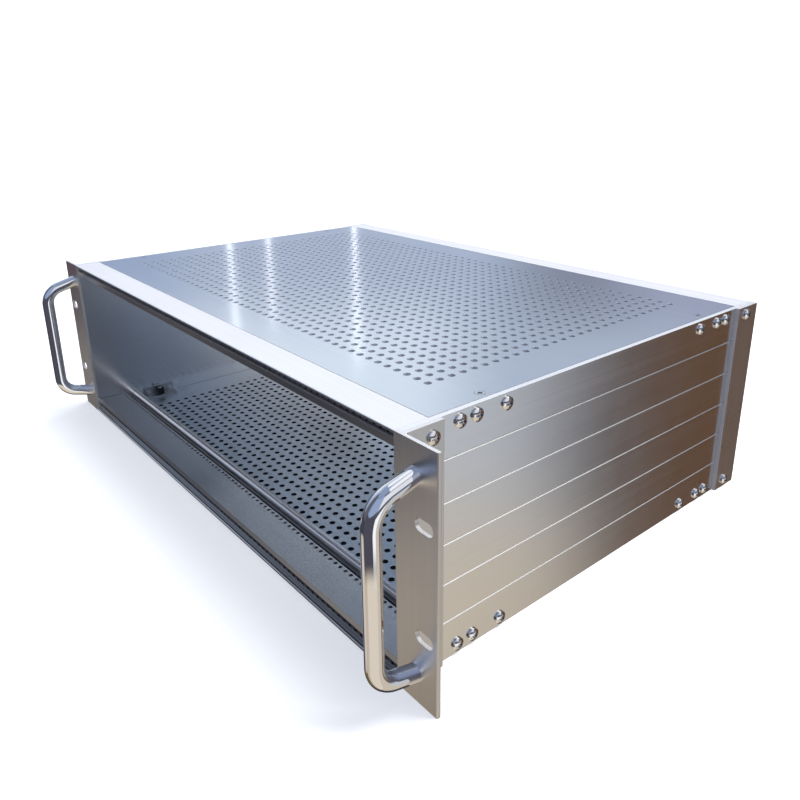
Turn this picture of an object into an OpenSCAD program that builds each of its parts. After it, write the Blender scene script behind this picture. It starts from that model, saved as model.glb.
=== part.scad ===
// Rack-mount instrument case of bare aluminium, three rack units high and open at the front and the rear.
// Two grooved side plates carry four extruded rails, two perforated covers and two slotted mounting flanges.
// A bent bar handle stands on each flange, and small angles close the rear corners.
// Units are millimetres. The front faces -Y, +X is right seen from the front, and +Z is up.
// The origin is the middle of the footprint, on the surface that the case stands on.
// Every module below works in the case frame: flange face at Y = 0, underside at Z = 0, middle at X = 0.

/* [Case] */
// Height of the case, three rack units less the stacking gap
case_h = 132.5; // [115:0.5:180]
// Clear width between the side plates, 84 pitches of 5.08
clear_w = 426.72; // [320:0.01:480]
// Depth from the flange face to the rear face
case_d = 307; // [250:0.5:450]

/* [Side plates] */
// Thickness of a side plate
side_t = 3; // [2.4:0.1:5]
// Number of grooves along the outer face
groove_n = 5; // [1:1:8]
// Width of a groove at the face
groove_w = 0.9; // [0.5:0.1:3]
// Depth of a groove
groove_deep = 0.45; // [0.2:0.05:1.2]

/* [Front flanges] */
// Width of a flange, from the inner face of the side plate outwards
flange_w = 27.94; // [27:0.01:40]
// Thickness of the flange plate
flange_t = 2; // [1.5:0.1:5]
// Thickness of the leg that runs back along the side plate
leg_t = 2.5; // [1.5:0.1:3.5]
// Depth of the leg, from the flange face
leg_d = 24; // [22:0.5:29]
// Radius of the inside corner between plate and leg
leg_fillet = 1.5; // [0.5:0.1:2]
// Width of a rack slot
slot_w = 6.8; // [5:0.1:8]
// Length of a rack slot, end to end
slot_len = 11.8; // [9:0.1:13]
// Slot centre, in from the outer edge of the flange
slot_in = 8.75; // [7:0.05:10]
// Height between the two slots of a flange
slot_pitch = 57.15; // [40:0.05:65]
// Chamfer of the flange's outer edge
flange_edge = 0.5; // [0.2:0.1:1]
// Flange screw, behind the flange face
flange_screw_u = 17.5; // [15:0.1:18]
// Flange screw, in from the top or bottom edge
flange_screw_v = 7; // [5:0.1:9]

/* [Handles] */
// Diameter of the handle bar
bar_d = 9; // [8:0.5:12]
// Distance from the flange face to the middle of the grip
bar_reach = 23; // [20:0.5:45]
// Distance between the two legs of a handle, at the flange
leg_pitch = 101; // [72:1:106]
// Lean of the legs towards the middle of the grip, in degrees
leg_lean = 15; // [0:1:20]
// Radius of the bends, at the middle of the bar
bend_r = 14; // [8:0.5:17]
// Handle, in from the outer edge of the flange
handle_in = 14.8; // [14:0.1:15.4]
// Depth of the tapped hole in a handle leg
handle_tap = 9; // [6:0.5:12]

/* [Rails] */
// Height of a rail
rail_h = 10; // [9.6:0.1:14]
// Depth of the rail's outer face, in front of the cover
cap_d = 19.5; // [16:0.5:22]
// Depth of the lip in front of the panel face
lip_d = 3.2; // [2:0.1:4]
// Thickness of the lip and of the outer face
lip_t = 1.6; // [1.2:0.1:1.8]
// Wall of the extrusion
wall_t = 1.6; // [1.2:0.1:1.7]
// Height of the panel screw line, in from the outer face
panel_v = 5; // [4.8:0.05:5.2]
// Mouth of the slot in the panel face
mouth_w = 2.8; // [2.4:0.1:4]
// Depth of the ledge that carries the guide holes
ledge_d = 26.6; // [25.5:0.1:28]
// Row of guide holes, behind the front of the rail
guide_u = 24.2; // [23.4:0.1:24.6]
// Diameter of a guide hole
guide_d = 2.5; // [1.5:0.1:3]
// Pitch of the guide holes and of the threaded strip
hp = 5.08; // [4.5:0.01:10.16]
// Plain length at each end of a row of holes
hp_end = 5; // [3:0.1:20]
// Screw boss, behind the front of the rail
boss_u = 36; // [33:0.1:37]
// Diameter of the screw boss
boss_d = 7.6; // [6.6:0.1:8.4]

/* [Threaded strips] */
// Height of a strip
strip_h = 6; // [5.4:0.1:6.2]
// Thickness of a strip
strip_t = 3; // [2:0.1:4]
// Play of a strip in its channel
strip_gap = 0.2; // [0.1:0.05:0.3]
// Strip, short of the rail at each end
strip_short = 0.4; // [0.2:0.1:2]
// Diameter of a tapped hole in a strip
tap_d = 2.1; // [1.6:0.1:3]

/* [Covers] */
// Thickness of a cover
cover_t = 1.5; // [1.2:0.1:2]
// Gap between a cover and the pieces round it
cover_gap = 0.3; // [0.1:0.05:0.6]
// Diameter of a vent hole
vent_d = 4; // [3:0.1:6]
// Pitch of the vent holes, both ways
vent_pitch = 7.94; // [7:0.01:14]
// Plain margin at the sides of a cover
vent_side = 28; // [26:0.5:60]
// Plain margin at the front and the rear of a cover
vent_end = 26; // [25:0.5:60]

/* [Cover brackets] */
// Middle of a bracket, behind the flange face
bracket_u = 56.5; // [56:0.1:70]
// Length of a bracket
bracket_len = 27; // [25:0.5:30]
// Thickness of a bracket
bracket_t = 1.6; // [1.2:0.1:2.4]
// Height of the leg on the side plate
bracket_h = 8; // [7:0.1:10]
// Width of the leg on the cover
bracket_w = 11; // [10:0.1:16]
// Distance between the two side screws of a bracket
bracket_pitch = 20; // [17:0.5:21]
// Length of the nut block on a bracket
nut_len = 5.5; // [5:0.1:9]
// Width of the nut block
nut_w = 5; // [4.5:0.1:8]
// Height of the nut block
nut_h = 5.5; // [4:0.1:7]
// Gap between the nut block and the bracket's upright leg
nut_gap = 1.1; // [0.05:0.05:2]

/* [Rear angles] */
// Thickness of the leg across the rear end of a side plate
rear_t = 3; // [2:0.1:5]
// Thickness of the leg along the side plate
rear_leg_t = 2.5; // [1.5:0.1:4]
// Depth of the leg along the side plate
rear_leg_d = 24; // [20:0.5:28]
// Rear angle screw, in from the rear face
rear_screw_u = 13.5; // [10:0.1:15]
// Rear angle screw, in from the top or bottom edge
rear_screw_v = 5.5; // [5:0.1:9]

/* [Screws] */
// Shank of the side screws
screw_d = 4; // [3:0.1:4.4]
// Head diameter over shank diameter of a pan head
pan_ratio = 1.75; // [1.7:0.05:2.1]
// Head height over shank diameter of a pan head
pan_high = 0.55; // [0.5:0.05:0.8]
// Length of a rail screw under its head
rail_screw_len = 16; // [10:0.5:25]
// Shank that shows past the leg of a bracket
screw_out = 1; // [0.2:0.1:3]
// Shank of the cover screws
cover_screw_d = 3; // [2:0.1:3.4]
// Head diameter over shank diameter of a cover screw
flat_ratio = 1.8; // [1.5:0.05:1.9]
// Shank of the handle screws
handle_screw_d = 5; // [4:0.1:6]
// Length of a handle screw in the handle's leg
handle_screw_in = 8; // [4:0.5:9]
// Play round a shank in a plain hole
hole_play = 0.4; // [0.2:0.05:0.8]
// Play round a shank in a tapped hole
tap_play = 0.1; // [0.05:0.05:0.2]

/* [Hidden] */
$fn = 48;
eps = 0.5;
mid_z = case_h / 2;
// The straight lengths of a handle run this far into its bends, which are thicker all round by the swell
bend_lap = 0.5;
bend_swell = 0.05;
mid_y = (case_d - bar_reach - bar_d / 2 - bend_swell) / 2;
inner_x = clear_w / 2;
outer_x = inner_x + side_t;
edge_x = inner_x + flange_w;
slot_x = edge_x - slot_in;
handle_x = edge_x - handle_in;
grip_end = leg_pitch / 2 - bar_reach * tan(leg_lean);
// The bend meets the grip and the leg at this distance from the corner of their axes
bend_run = bend_r * tan((90 - leg_lean) / 2);
// The tapped hole stands square to the flange, so it is set towards the middle to stay inside the leg
handle_hole_v = leg_pitch / 2 - handle_tap * tan(leg_lean) / 2;
plate_y0 = flange_t;
plate_y1 = case_d - rear_t;
// The boss stands on the cover, and the side screws share its height
screw_v = cover_t + boss_d / 2;
bracket_y = [for (s = [-1, 1]) bracket_u + s * bracket_pitch / 2];
cover_w = 2 * (inner_x - cover_gap);
cover_y0 = cap_d + cover_gap;
cover_len = case_d - 2 * cover_y0;
cover_screw_x = inner_x - bracket_t - nut_gap - nut_w / 2;
nut_v = cover_t + bracket_t;
chamber_d = strip_t + strip_gap;
nose_d = chamber_d + 2 * wall_t;
row_n = floor((clear_w - 2 * hp_end) / hp);
vent_nx = floor((cover_w - 2 * vent_side) / vent_pitch);
vent_ny = floor((cover_len - 2 * vent_end) / vent_pitch);
flat_h = cover_screw_d * (flat_ratio - 1) / 2;
// Crown radius of a pan head over its diameter
crown_ratio = 0.8;
// Cross recess over shank diameter: length, width and depth
pan_recess = [1.15, 0.3, 0.36];
flat_recess = [1, 0.24, 0.3];

// Moves a piece from the case frame to the origin of the part
module placed() {
    translate([0, -mid_y, 0]) children();
}

// Left side, as the mirror image of the right one
module on_left() {
    mirror([1, 0, 0]) children();
}

// Upper edge, as the mirror image of the lower one
module on_top() {
    translate([0, 0, case_h]) mirror([0, 0, 1]) children();
}

// Rear end, as the mirror image of the front one
module on_rear() {
    translate([0, case_d, 0]) mirror([0, 1, 0]) children();
}

// A lower piece and its upper copy
module both_edges() {
    children();
    on_top() children();
}

// A front piece and its rear copy
module both_ends() {
    children();
    on_rear() children();
}

// A right piece and its left copy
module both_sides() {
    children();
    on_left() children();
}

// Turns an outline in depth and height into a bar along X
module along_x(len) {
    rotate([90, 0, 90]) linear_extrude(len, center = true) children();
}

// Round hole along X through the side walls
module side_hole(y, v, d) {
    translate([inner_x - eps, y, v]) rotate([0, 90, 0])
        cylinder(d = d, h = side_t + leg_t + rear_leg_t + 2 * eps);
}

// Pan head screw along Z: head above zero, shank below
module pan_screw(d, len) {
    head_d = d * pan_ratio;
    head_h = d * pan_high;
    crown = head_d * crown_ratio;
    difference() {
        union() {
            intersection() {
                cylinder(d = head_d, h = head_h);
                translate([0, 0, head_h - crown]) sphere(r = crown);
            }
            translate([0, 0, -len]) cylinder(d = d, h = len);
        }
        cross_recess(d * pan_recess, head_h);
    }
}

// Cross recess of the given length, width and depth, sunk from the given height
module cross_recess(size, top) {
    for (a = [0, 90]) rotate(a) translate([-size.x / 2, -size.y / 2, top - size.z])
        cube(size + [0, 0, eps]);
}

// Flat head screw along Z: face of the head at zero, shank below
module flat_screw(d, len) {
    head_d = d * flat_ratio;
    difference() {
        union() {
            translate([0, 0, -flat_h]) cylinder(d1 = d, d2 = head_d, h = flat_h);
            translate([0, 0, -len]) cylinder(d = d, h = len);
        }
        cross_recess(d * flat_recess, 0);
    }
}

// Pan head screw in the right side wall, with its head seated at seat_x
module side_screw(seat_x, y, v, len) {
    translate([seat_x, y, v]) rotate([0, 90, 0]) pan_screw(screw_d, len);
}

// Section of a groove, with its mouth on the outer face
module groove_outline() {
    polygon([
        [eps, -groove_w / 2],
        [eps, groove_w / 2],
        [0, groove_w / 2],
        [-groove_deep, 0],
        [0, -groove_w / 2]
    ]);
}

// Outline of a side plate: a flat bar with grooves along its outer face
module side_outline() {
    difference() {
        translate([inner_x, 0]) square([side_t, case_h]);
        for (k = [1:groove_n]) translate([outer_x, k * case_h / (groove_n + 1)]) groove_outline();
    }
}

// Right side plate, drilled for the screws
module side_plate() {
    difference() {
        translate([0, plate_y1, 0]) rotate([90, 0, 0]) linear_extrude(plate_y1 - plate_y0) side_outline();
        both_edges() {
            side_hole(flange_screw_u, flange_screw_v, screw_d + tap_play);
            side_hole(case_d - rear_screw_u, rear_screw_v, screw_d + tap_play);
            both_ends() {
                side_hole(boss_u, screw_v, screw_d + hole_play);
                for (y = bracket_y) side_hole(y, screw_v, screw_d + hole_play);
            }
        }
    }
}

// Outline of a flange from above: plate, return leg and inside fillet
module flange_outline() {
    polygon([
        [inner_x, 0],
        [edge_x - flange_edge, 0],
        [edge_x, flange_edge],
        [edge_x, flange_t],
        [outer_x + leg_t, flange_t],
        [outer_x + leg_t, leg_d],
        [outer_x, leg_d],
        [outer_x, flange_t],
        [inner_x, flange_t]
    ]);
    translate([outer_x + leg_t, flange_t]) difference() {
        square(leg_fillet);
        translate([leg_fillet, leg_fillet]) circle(r = leg_fillet);
    }
}

// Slot along X, cut through the flange plate
module rack_slot() {
    straight = slot_len - slot_w;
    rotate([90, 0, 0]) linear_extrude(flange_t + 2 * eps, center = true) {
        square([straight, slot_w], center = true);
        for (s = [-1, 1]) translate([s * straight / 2, 0]) circle(d = slot_w);
    }
}

// Right front flange with its rack slots, handle holes and screw holes
module front_flange() {
    difference() {
        linear_extrude(case_h) flange_outline();
        for (s = [-1, 1]) {
            translate([slot_x, flange_t / 2, mid_z + s * slot_pitch / 2]) rack_slot();
            translate([handle_x, -eps, mid_z + s * handle_hole_v]) rotate([-90, 0, 0])
                cylinder(d = handle_screw_d + hole_play, h = flange_t + 2 * eps);
        }
        both_edges() side_hole(flange_screw_u, flange_screw_v, screw_d + hole_play);
    }
}

// Upper bend and upper leg of the bar; the leg runs past the flange face and is cut off there
module bend_and_leg() {
    translate([0, bend_r - bar_reach, grip_end - bend_run]) rotate([90, 0, 90]) rotate([0, 0, 90 + leg_lean])
        rotate_extrude(angle = 90 - leg_lean) translate([bend_r, 0]) circle(d = bar_d + 2 * bend_swell);
    translate([0, -bar_reach, grip_end]) rotate([leg_lean - 90, 0, 0]) translate([0, 0, bend_run - bend_lap])
        cylinder(d = bar_d, h = bar_reach / cos(leg_lean) - bend_run + bar_d);
}

// Right handle: one bar bent twice, with a tapped hole in each leg
module handle() {
    grip = grip_end - bend_run + bend_lap;
    translate([handle_x, 0, mid_z]) difference() {
        union() {
            translate([0, -bar_reach, -grip]) cylinder(d = bar_d, h = 2 * grip);
            for (m = [0, 1]) mirror([0, 0, m]) bend_and_leg();
        }
        translate([-bar_d, 0, -leg_pitch]) cube([2 * bar_d, 2 * bar_d, 2 * leg_pitch]);
        for (s = [-1, 1]) translate([0, eps, s * handle_hole_v]) rotate([90, 0, 0])
            cylinder(d = handle_screw_d + tap_play, h = handle_tap + eps);
    }
}

// Outline of a lower front rail, depth along X and height along Y
module rail_outline() {
    difference() {
        union() {
            translate([lip_t / 2, 0]) square([cap_d - lip_t / 2, lip_t]);
            translate([lip_t / 2, lip_t / 2]) circle(d = lip_t);
            translate([lip_d, 0]) square([nose_d, rail_h]);
            translate([lip_d, rail_h - wall_t]) square([ledge_d - lip_d - wall_t / 2, wall_t]);
            translate([ledge_d - wall_t / 2, rail_h - wall_t / 2]) circle(d = wall_t);
            translate([cap_d - wall_t, 0]) square([wall_t, rail_h]);
            translate([cap_d - wall_t, cover_t]) square([boss_u - cap_d + wall_t, wall_t]);
            translate([boss_u, screw_v]) circle(d = boss_d);
        }
        translate([lip_d + wall_t, panel_v - strip_h / 2]) square([chamber_d, strip_h + strip_gap]);
        translate([lip_d - eps, panel_v - mouth_w / 2]) square([wall_t + 2 * eps, mouth_w]);
        translate([boss_u, screw_v]) circle(d = screw_d + tap_play);
    }
}

// Positions along X of the rows of small holes
module hole_row() {
    for (i = [0:row_n]) translate([(i - row_n / 2) * hp, 0, 0]) children();
}

// Lower front rail, with its row of guide holes
module rail() {
    difference() {
        along_x(clear_w) rail_outline();
        hole_row() translate([0, guide_u, rail_h - wall_t - eps]) cylinder(d = guide_d, h = wall_t + 2 * eps);
    }
}

// Threaded strip of the lower front rail
module threaded_strip() {
    difference() {
        translate([strip_short - inner_x, lip_d + wall_t, panel_v - strip_h / 2])
            cube([clear_w - 2 * strip_short, strip_t, strip_h]);
        hole_row() translate([0, lip_d + wall_t - eps, panel_v]) rotate([-90, 0, 0])
            cylinder(d = tap_d, h = strip_t + 2 * eps);
    }
}

// Outline of a cover from below, with its field of vent holes
module cover_outline() {
    difference() {
        translate([-cover_w / 2, cover_y0]) square([cover_w, cover_len]);
        for (i = [0:vent_nx], j = [0:vent_ny])
            translate([(i - vent_nx / 2) * vent_pitch, case_d / 2 + (j - vent_ny / 2) * vent_pitch])
                circle(d = vent_d, $fn = 24);
    }
}

// Bottom cover, countersunk for its four screws
module cover() {
    difference() {
        linear_extrude(cover_t) cover_outline();
        both_sides() both_ends() translate([cover_screw_x, bracket_u, 0]) {
            translate([0, 0, -eps]) cylinder(d = cover_screw_d + hole_play, h = cover_t + 2 * eps);
            cylinder(
                d1 = cover_screw_d * flat_ratio + hole_play,
                d2 = cover_screw_d + hole_play,
                h = flat_h
            );
        }
    }
}

// Right rear angle, over the rear end of the side plate
module rear_angle() {
    difference() {
        linear_extrude(case_h) polygon([
            [inner_x, case_d],
            [outer_x + rear_leg_t - flange_edge, case_d],
            [outer_x + rear_leg_t, case_d - flange_edge],
            [outer_x + rear_leg_t, case_d - rear_leg_d],
            [outer_x, case_d - rear_leg_d],
            [outer_x, plate_y1],
            [inner_x, plate_y1]
        ]);
        both_edges() side_hole(case_d - rear_screw_u, rear_screw_v, screw_d + hole_play);
    }
}

// Bracket between the right side plate and the bottom cover, at the front
module cover_bracket() {
    difference() {
        translate([inner_x, bracket_u, cover_t]) rotate([90, 0, 0])
            linear_extrude(bracket_len, center = true) {
                translate([-bracket_t, 0]) square([bracket_t, bracket_h]);
                translate([-bracket_w, 0]) square([bracket_w, bracket_t]);
            }
        for (y = bracket_y) translate([inner_x - bracket_t - eps, y, screw_v]) rotate([0, 90, 0])
            cylinder(d = screw_d + tap_play, h = bracket_t + 2 * eps);
        translate([cover_screw_x, bracket_u, cover_t - eps])
            cylinder(d = cover_screw_d + hole_play, h = bracket_t + 2 * eps);
    }
}

// Nut block on that bracket, tapped for the cover screw
module cover_nut() {
    difference() {
        translate([cover_screw_x - nut_w / 2, bracket_u - nut_len / 2, nut_v]) cube([nut_w, nut_len, nut_h]);
        translate([cover_screw_x, bracket_u, nut_v - eps])
            cylinder(d = cover_screw_d + tap_play, h = nut_h + 2 * eps);
    }
}

// Screws of one side, two for each rear angle and flange, one for each rail and two for each bracket
module flange_screw() {
    side_screw(outer_x + leg_t, flange_screw_u, flange_screw_v, leg_t + side_t - tap_play);
}

module rear_angle_screw() {
    side_screw(outer_x + rear_leg_t, case_d - rear_screw_u, rear_screw_v, rear_leg_t + side_t - tap_play);
}

module rail_screw() {
    side_screw(outer_x, boss_u, screw_v, rail_screw_len);
}

module bracket_screw() {
    for (y = bracket_y) side_screw(outer_x, y, screw_v, side_t + bracket_t + screw_out);
}

// Cover screw from below, through the cover and the bracket into the nut block
module cover_screw() {
    translate([cover_screw_x, bracket_u, 0]) mirror([0, 0, 1]) flat_screw(cover_screw_d, nut_v + nut_h);
}

// Handle screws from behind the right flange
module handle_screw() {
    for (s = [-1, 1]) translate([handle_x, flange_t, mid_z + s * handle_hole_v]) rotate([-90, 0, 0])
        pan_screw(handle_screw_d, flange_t + handle_screw_in);
}

module left_side_plate() { color("#b9bcc0") placed() on_left() side_plate(); }
module right_side_plate() { color("#b9bcc0") placed() side_plate(); }
module left_front_flange() { color("#9a9690") placed() on_left() front_flange(); }
module right_front_flange() { color("#9a9690") placed() front_flange(); }
module left_handle() { color("#dfe3e8") placed() on_left() handle(); }
module right_handle() { color("#dfe3e8") placed() handle(); }
module front_top_rail() { color("#d4d8de") placed() on_top() rail(); }
module front_bottom_rail() { color("#d4d8de") placed() rail(); }
module rear_top_rail() { color("#d4d8de") placed() on_top() on_rear() rail(); }
module rear_bottom_rail() { color("#d4d8de") placed() on_rear() rail(); }
module front_top_strip() { color("#8d9196") placed() on_top() threaded_strip(); }
module front_bottom_strip() { color("#8d9196") placed() threaded_strip(); }
module rear_top_strip() { color("#8d9196") placed() on_top() on_rear() threaded_strip(); }
module rear_bottom_strip() { color("#8d9196") placed() on_rear() threaded_strip(); }
module top_cover() { color("#bcc6d4") placed() on_top() cover(); }
module bottom_cover() { color("#bcc6d4") placed() cover(); }
module left_rear_angle() { color("#9a9690") placed() on_left() rear_angle(); }
module right_rear_angle() { color("#9a9690") placed() rear_angle(); }
module left_cover_brackets() { color("#a4a8ae") placed() on_left() both_edges() both_ends() cover_bracket(); }
module right_cover_brackets() { color("#a4a8ae") placed() both_edges() both_ends() cover_bracket(); }
module cover_nuts() { color("#1a1a1b") placed() both_sides() both_edges() both_ends() cover_nut(); }
module rail_screws() { color("#cfd2d6") placed() both_sides() both_edges() both_ends() rail_screw(); }
module bracket_screws() { color("#cfd2d6") placed() both_sides() both_edges() both_ends() bracket_screw(); }
module flange_screws() { color("#cfd2d6") placed() both_sides() both_edges() flange_screw(); }
module rear_angle_screws() { color("#cfd2d6") placed() both_sides() both_edges() rear_angle_screw(); }
module top_cover_screws() { color("#cfd2d6") placed() both_sides() on_top() both_ends() cover_screw(); }
module bottom_cover_screws() { color("#cfd2d6") placed() both_sides() both_ends() cover_screw(); }
module handle_screws() { color("#cfd2d6") placed() both_sides() handle_screw(); }

left_side_plate();
right_side_plate();
left_front_flange();
right_front_flange();
left_handle();
right_handle();
front_top_rail();
front_bottom_rail();
rear_top_rail();
rear_bottom_rail();
front_top_strip();
front_bottom_strip();
rear_top_strip();
rear_bottom_strip();
top_cover();
bottom_cover();
left_rear_angle();
right_rear_angle();
left_cover_brackets();
right_cover_brackets();
cover_nuts();
rail_screws();
bracket_screws();
flange_screws();
rear_angle_screws();
top_cover_screws();
bottom_cover_screws();
handle_screws();
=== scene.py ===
"""Looks of the rack-mount instrument case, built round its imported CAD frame.

The metal finishes, the two vented covers, the two bar handles, the studio and the camera are made here.
Lengths are metres in the row frame; sizes that a drawing would give are kept in millimetres in the classes.
"""

import logging
import math
from dataclasses import dataclass, field
from enum import Enum
from typing import Any, ClassVar, Iterable, Sequence, Union

import bpy
import numpy as np
from mathutils import Matrix, Vector


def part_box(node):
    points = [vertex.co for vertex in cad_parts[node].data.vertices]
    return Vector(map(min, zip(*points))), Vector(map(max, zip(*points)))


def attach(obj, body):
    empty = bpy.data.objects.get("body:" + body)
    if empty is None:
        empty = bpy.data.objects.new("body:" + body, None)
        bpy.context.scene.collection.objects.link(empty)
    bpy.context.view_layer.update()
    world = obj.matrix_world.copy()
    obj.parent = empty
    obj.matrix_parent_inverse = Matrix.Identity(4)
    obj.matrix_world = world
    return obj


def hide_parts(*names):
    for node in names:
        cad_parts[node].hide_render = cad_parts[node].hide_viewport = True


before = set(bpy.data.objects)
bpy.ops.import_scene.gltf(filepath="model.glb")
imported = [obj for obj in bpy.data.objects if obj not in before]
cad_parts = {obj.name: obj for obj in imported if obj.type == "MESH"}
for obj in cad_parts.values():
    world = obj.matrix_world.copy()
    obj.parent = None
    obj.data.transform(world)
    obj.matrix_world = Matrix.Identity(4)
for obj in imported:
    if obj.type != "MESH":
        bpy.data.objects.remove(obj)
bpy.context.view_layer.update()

LOG = logging.getLogger("case")
MM = 0.001
BODY = "root"
Colour = tuple[float, float, float]
Point = tuple[float, float, float]
Span = tuple[float, float]
Number = Union[float, "Sock"]


class Grain(Enum):
    """Direction in which a metal face was drawn, rolled or brushed."""

    ALONG_X = (1, 0, 0)
    ALONG_Y = (0, 1, 0)
    ALONG_Z = (0, 0, 1)


class Side(Enum):
    """Face of the case that a cover closes."""

    TOP = 1
    BOTTOM = -1


# Shader maths


class Sock:
    """One output of a shader node, with the arithmetic that the finishes use."""

    def __init__(self, graph: "Graph", socket: bpy.types.NodeSocket) -> None:
        """Keeps the socket and the graph that it belongs to."""
        self.graph = graph
        self.socket = socket

    def _math(self, operation: str, first: Number, second: Number = 0.0) -> "Sock":
        """Adds one Math node."""
        return self.graph.add("ShaderNodeMath", {"operation": operation}, {0: first, 1: second})

    def __add__(self, other: Number) -> "Sock":
        """Sum."""
        return self._math("ADD", self, other)

    __radd__ = __add__

    def __sub__(self, other: Number) -> "Sock":
        """Difference."""
        return self._math("SUBTRACT", self, other)

    def __rsub__(self, other: Number) -> "Sock":
        """Difference from a number, so that 1 - mask works."""
        return self._math("SUBTRACT", other, self)

    def __mul__(self, other: Number) -> "Sock":
        """Product."""
        return self._math("MULTIPLY", self, other)

    __rmul__ = __mul__

    def __abs__(self) -> "Sock":
        """Size without its sign."""
        return self._math("ABSOLUTE", self)

    def bearing(self, ahead: "Sock") -> "Sock":
        """Angle from the axis ahead towards this one, in radians."""
        return self._math("ARCTAN2", self, ahead)

    def ramp(self, low: float, high: float, start: float = 0.0, end: float = 1.0) -> "Sock":
        """Carries the stretch from low to high onto start to end, eased at both ends.

        Args:
            low: value that gives start.
            high: value that gives end.
            start: result at and below low.
            end: result at and above high.

        Returns:
            The new value.
        """
        return self.graph.add(
            "ShaderNodeMapRange",
            {"interpolation_type": "SMOOTHSTEP", "clamp": True},
            {0: self, 1: low, 2: high, 3: start, 4: end},
        )

    def window(self, span: Span, soft: float) -> "Sock":
        """One inside a span and zero outside it.

        Args:
            span: lower and upper end.
            soft: half width of the change at each end.

        Returns:
            The mask.
        """
        low, high = span
        return self.ramp(low - soft, low + soft) * self.ramp(high - soft, high + soft, 1.0, 0.0)


class Graph:
    """A node tree, filled through one method."""

    def __init__(self, tree: bpy.types.NodeTree) -> None:
        """Empties the tree."""
        self.tree = tree
        tree.nodes.clear()

    def add(self, kind: str, settings: dict[str, Any], inputs: dict[Any, Any], output: Any = 0) -> Sock:
        """Adds a node.

        Args:
            kind: Blender's name for the node's type.
            settings: properties of the node, set before its sockets.
            inputs: value or Sock for each socket, by name or by number.
            output: name or number of the output that is wanted.

        Returns:
            That output.
        """
        node = self.tree.nodes.new(kind)
        for key, value in settings.items():
            setattr(node, key, value)
        for key, value in inputs.items():
            if isinstance(value, Sock):
                self.tree.links.new(value.socket, node.inputs[key])
            else:
                node.inputs[key].default_value = value
        return Sock(self, node.outputs[output]) if len(node.outputs) else Sock(self, None)

    def split(self, vector: Sock) -> tuple[Sock, ...]:
        """The three parts of a vector."""
        first = self.add("ShaderNodeSeparateXYZ", {}, {0: vector})
        return tuple(Sock(self, part) for part in first.socket.node.outputs)

    def mix(self, share: Number, first: Any, second: Any) -> Sock:
        """Blends two colours.

        Args:
            share: 0 gives the first colour and 1 the second.
            first: colour or Sock.
            second: colour or Sock.

        Returns:
            The blended colour.
        """
        pair = {k: v if isinstance(v, Sock) else (*v, 1.0) for k, v in ((6, first), (7, second))}
        return self.add("ShaderNodeMix", {"data_type": "RGBA"}, {0: share, **pair}, 2)

    def noise(self, place: Sock, scale: float, detail: float, rough: float = 0.5) -> Sock:
        """Fractal noise between 0 and 1.

        Args:
            place: coordinates.
            scale: waves for each unit of the coordinates.
            detail: octaves.
            rough: share that each octave keeps.

        Returns:
            The noise.
        """
        values = {"Vector": place, "Scale": scale, "Detail": detail, "Roughness": rough}
        return self.add("ShaderNodeTexNoise", {}, values)

    def stretched(self, place: Sock, scale: Point) -> Sock:
        """Noise with its own number of waves along each axis.

        Args:
            place: coordinates.
            scale: factor along each axis; two units of the result hold one wave.

        Returns:
            The noise.
        """
        drawn = self.add("ShaderNodeMapping", {}, {"Vector": place, "Scale": scale})
        return self.noise(drawn, 0.5, 3.0, 0.6)


# Finishes


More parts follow.
